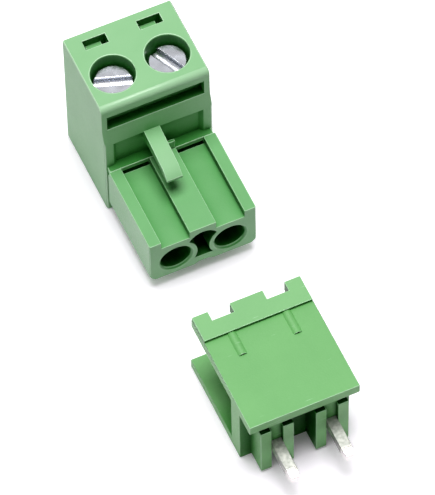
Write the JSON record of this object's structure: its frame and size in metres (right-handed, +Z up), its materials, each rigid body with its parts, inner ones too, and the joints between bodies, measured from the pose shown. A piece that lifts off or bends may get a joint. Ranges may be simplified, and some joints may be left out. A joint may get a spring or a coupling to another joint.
{
  "type": "pluggable pcb terminal block",
  "caption": "Green screw-clamp terminal plug with rising-cage clamps and a latch finger, lying in line with the open-ended pin header that it plugs into on a circuit board.",
  "frame": {"origin": "middle of the whole row on the surface it lies on, with plug and header apart as pictured", "axes": "+X across the poles, +Y along the mating direction towards the plug's wire side, +Z up along the clamp screws"},
  "size_m": [0.0102, 0.042, 0.0144],
  "materials": {
    "moulded_green": "satin moulded",
    "zinc_steel": "bright zinc plated",
    "tinned_brass": "tin plated"
  },
  "bodies": {
    "header": {"header_housing": "moulded_green", "header_pin_left": "tinned_brass", "header_pin_right": "tinned_brass"},
    "plug": {"plug_block": "moulded_green", "plug_nose": "moulded_green", "contact_left": "tinned_brass", "contact_right": "tinned_brass"},
    "left_screw": {"clamp_screw_left": "zinc_steel"},
    "right_screw": {"clamp_screw_right": "zinc_steel"},
    "left_cage": {"clamp_cage_left": "zinc_steel"},
    "right_cage": {"clamp_cage_right": "zinc_steel"}
  },
  "joints": [
    {"name": "plug_in", "type": "slide", "parent": "header", "child": "plug", "axis": [0, -1, 0], "range_m": [0, 0.0168]},
    {"name": "left_screw_turn", "type": "hinge", "parent": "plug", "child": "left_screw", "pos_m": [-0.00254, 0.01603, 0.0115], "axis": [0, 0, -1], "range_deg": [0, 1730]},
    {"name": "right_screw_turn", "type": "hinge", "parent": "plug", "child": "right_screw", "pos_m": [0.00254, 0.01603, 0.0115], "axis": [0, 0, -1], "range_deg": [0, 1730]},
    {"name": "left_cage_lift", "type": "slide", "parent": "plug", "child": "left_cage", "axis": [0, 0, 1], "range_m": [0, 0.0024]},
    {"name": "right_cage_lift", "type": "slide", "parent": "plug", "child": "right_cage", "axis": [0, 0, 1], "range_m": [0, 0.0024]}
  ],
  "couplings": [
    {"joint": "left_screw_turn", "follows": "left_cage_lift", "rad_per_m": 12566},
    {"joint": "right_screw_turn", "follows": "right_cage_lift", "rad_per_m": 12566}
  ]
}
